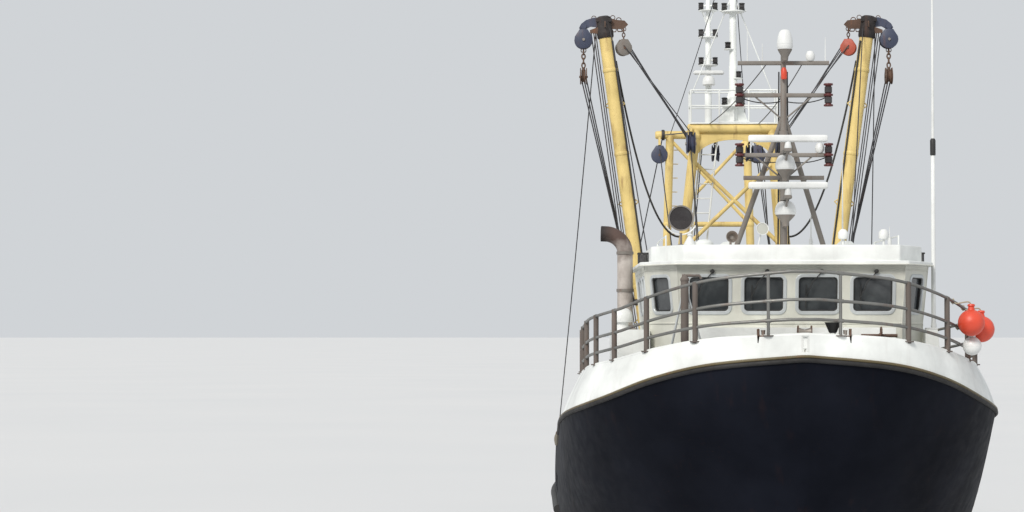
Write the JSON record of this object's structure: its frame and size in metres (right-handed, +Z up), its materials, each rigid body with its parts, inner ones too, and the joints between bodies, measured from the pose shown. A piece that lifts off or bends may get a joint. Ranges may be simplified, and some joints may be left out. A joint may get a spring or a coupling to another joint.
{
  "type": "fishing trawler",
  "caption": "Steel beam trawler with a white whaleback and forward wheelhouse, a yellow gantry and swinging booms.",
  "frame": {"origin": "on the waterline, on the centreline, half way along the ship", "axes": "+Z up, the bow points along -Y, +X is port"},
  "size_m": [7.445, 26.5, 16.2],
  "materials": {
    "navy_paint": "marine paint, satin, scuffed",
    "white_paint": "marine paint, satin, rust runs",
    "cream_paint": "marine paint, satin",
    "yellow_paint": "marine paint, chalked, rust stained",
    "grey_paint": "marine paint, sooty",
    "blue_paint": "marine paint, worn",
    "rusted_steel": "rusted steel",
    "worn_steel": "worn galvanised steel",
    "bronze": "cast bronze",
    "orange_plastic": "inflated vinyl, faded",
    "white_plastic": "moulded plastic"
  },
  "bodies": {
    "ship": {"hull": "navy_paint", "forecastle": "navy_paint", "whaleback": "white_paint", "bulwark": "navy_paint", "wheelhouse_walls": "cream_paint", "wheelhouse_roof": "white_paint", "helm_console": "grey_paint", "helm_chair": "navy_paint", "front_locker": "white_paint", "casing_starboard": "white_paint", "casing_port": "white_paint", "exhaust_pipe": "grey_paint", "vent_cowl": "white_paint", "radar_mast": "grey_paint", "radome_lower": "white_plastic", "radome_middle": "white_plastic", "radome_upper": "white_plastic", "bow_rail_fore_port": "worn_steel", "bow_rail_fore_starboard": "worn_steel", "bow_rail_aft_port": "worn_steel", "bow_rail_aft_starboard": "worn_steel", "bow_post": "rusted_steel", "windlass_frame": "rusted_steel", "anchor": "rusted_steel", "bollards_fore_port": "rusted_steel", "bollards_fore_starboard": "rusted_steel", "bollards_aft_port": "rusted_steel", "bollards_aft_starboard": "rusted_steel", "fender_orange_fore": "orange_plastic", "fender_orange_aft": "orange_plastic", "fender_white": "white_plastic", "gantry": "yellow_paint", "gantry_top": "white_paint", "gantry_block_port": "blue_paint", "gantry_block_starboard": "blue_paint", "boom_step_port": "yellow_paint", "boom_step_starboard": "yellow_paint", "winch_frame": "grey_paint", "break_ladder": "grey_paint", "hatch_coaming": "grey_paint", "stern_gantry": "yellow_paint", "aerial_pole": "white_paint", "stern_mast": "white_paint", "stays_port": "worn_steel", "stays_starboard": "worn_steel"},
    "wheelhouse_door": {"wheelhouse_door": "cream_paint"},
    "radar_lower": {"radar_scanner_lower": "white_plastic"},
    "radar_upper": {"radar_scanner_upper": "white_plastic"},
    "boom_port": {"boom_port": "yellow_paint", "boom_block_port": "blue_paint", "boom_falls_port": "rusted_steel"},
    "boom_starboard": {"boom_starboard": "yellow_paint", "boom_block_starboard": "blue_paint", "boom_falls_starboard": "rusted_steel"},
    "windlass_drum": {"windlass_drum": "rusted_steel"},
    "winch_drum_port": {"winch_drum_port": "worn_steel"},
    "winch_drum_starboard": {"winch_drum_starboard": "worn_steel"},
    "hatch_lid": {"hatch_lid": "grey_paint"},
    "rudder": {"rudder": "navy_paint"},
    "propeller": {"propeller": "bronze"}
  },
  "joints": [
    {"name": "wheelhouse_door_hinge", "type": "hinge", "parent": "ship", "child": "wheelhouse_door", "pos_m": [1.17, -4.96, 4.2], "axis": [0, 0, -1], "range_deg": [0, 100]},
    {"name": "radar_lower_spin", "type": "hinge", "parent": "ship", "child": "radar_lower", "pos_m": [0.12, -9.41, 7.42], "axis": [0, 0, 1], "continuous": true},
    {"name": "radar_upper_spin", "type": "hinge", "parent": "ship", "child": "radar_upper", "pos_m": [0.12, -9.41, 8.19], "axis": [0, 0, 1], "continuous": true},
    {"name": "boom_port_swing", "type": "hinge", "parent": "ship", "child": "boom_port", "pos_m": [1.55, 0.15, 3.1], "axis": [0, 1, 0], "range_deg": [0, 70]},
    {"name": "boom_starboard_swing", "type": "hinge", "parent": "ship", "child": "boom_starboard", "pos_m": [-1.55, 0.15, 3.1], "axis": [0, -1, 0], "range_deg": [0, 70]},
    {"name": "windlass_spin", "type": "hinge", "parent": "ship", "child": "windlass_drum", "pos_m": [0, -11.3, 4.68], "axis": [1, 0, 0], "continuous": true},
    {"name": "winch_port_spin", "type": "hinge", "parent": "ship", "child": "winch_drum_port", "pos_m": [0.8, -2.05, 2.62], "axis": [1, 0, 0], "continuous": true},
    {"name": "winch_starboard_spin", "type": "hinge", "parent": "ship", "child": "winch_drum_starboard", "pos_m": [-0.8, -2.05, 2.62], "axis": [1, 0, 0], "continuous": true},
    {"name": "hatch_lid_hinge", "type": "hinge", "parent": "ship", "child": "hatch_lid", "pos_m": [0, 5.19, 2.1503], "axis": [-1, 0, 0], "range_deg": [0, 100]},
    {"name": "rudder_turn", "type": "hinge", "parent": "ship", "child": "rudder", "pos_m": [0, 10.65, -1.8], "axis": [0, 0, 1], "range_deg": [-35, 35]},
    {"name": "propeller_spin", "type": "hinge", "parent": "ship", "child": "propeller", "pos_m": [0, 9.5, -1.8], "axis": [0, 1, 0], "continuous": true}
  ]
}
